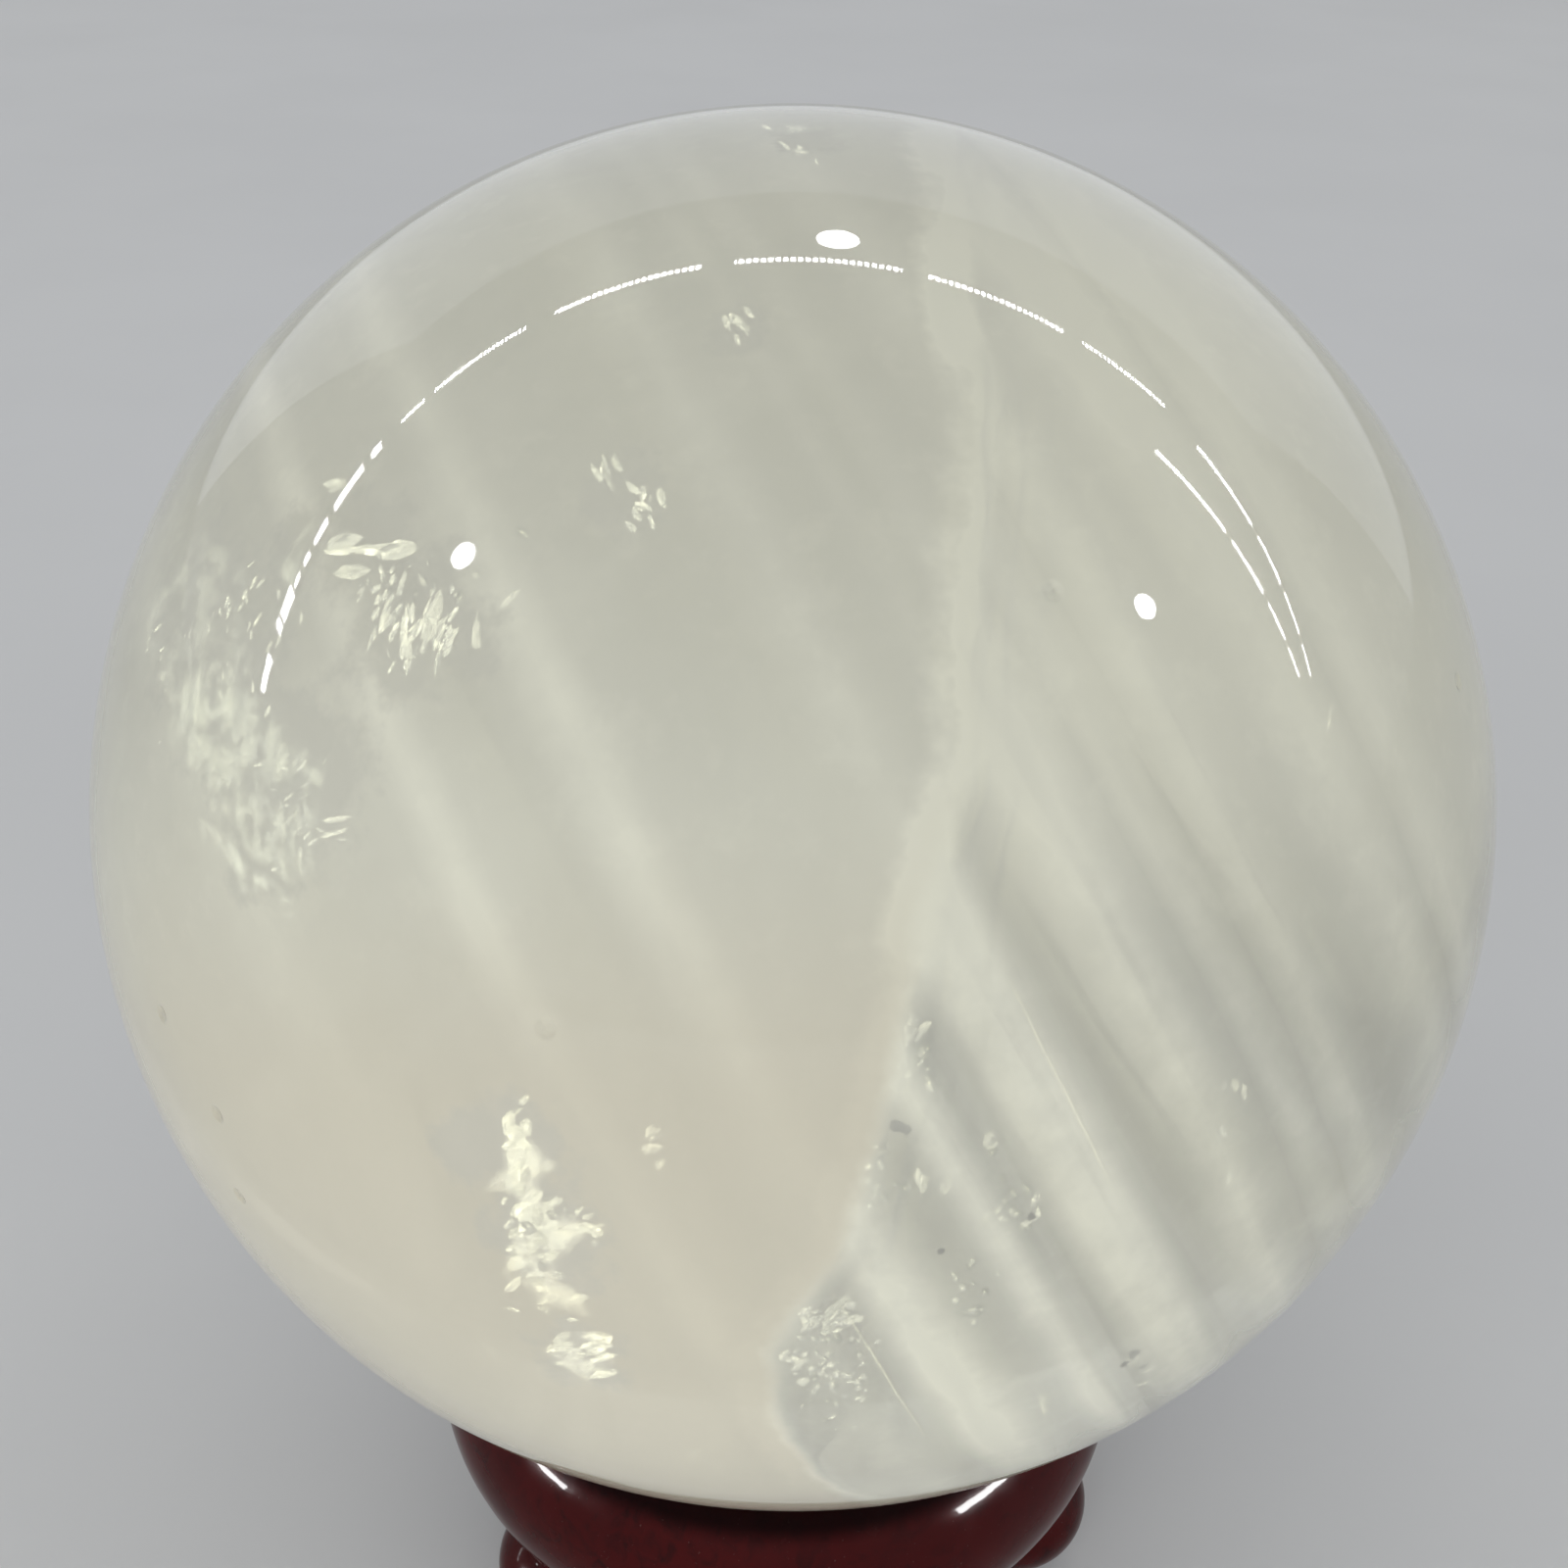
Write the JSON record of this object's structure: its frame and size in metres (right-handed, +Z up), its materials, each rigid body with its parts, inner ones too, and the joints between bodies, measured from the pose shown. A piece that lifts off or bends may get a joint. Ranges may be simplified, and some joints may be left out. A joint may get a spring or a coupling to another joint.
{
  "type": "quartz sphere on a ring stand",
  "caption": "Large polished milky quartz ball resting in a thick, round lacquered wood ring with small bun feet, a display piece.",
  "frame": {"origin": "middle of the footprint, at the level of the surface the stand rests on", "axes": "+Z up through the sphere's centre and the ring's axis, -Y towards the viewer, +X to the viewer's right"},
  "size_m": [0.15, 0.15, 0.1845],
  "materials": {
    "milky_quartz": "mirror polished, translucent milky white with pale growth bands and a few clear windows",
    "red_lacquered_wood": "deep red-brown stain under clear gloss lacquer"
  },
  "bodies": {
    "root": {"quartz_sphere": "milky_quartz", "stand_ring": "red_lacquered_wood", "stand_foot_right": "red_lacquered_wood", "stand_foot_back": "red_lacquered_wood", "stand_foot_left": "red_lacquered_wood"}
  },
  "joints": []
}
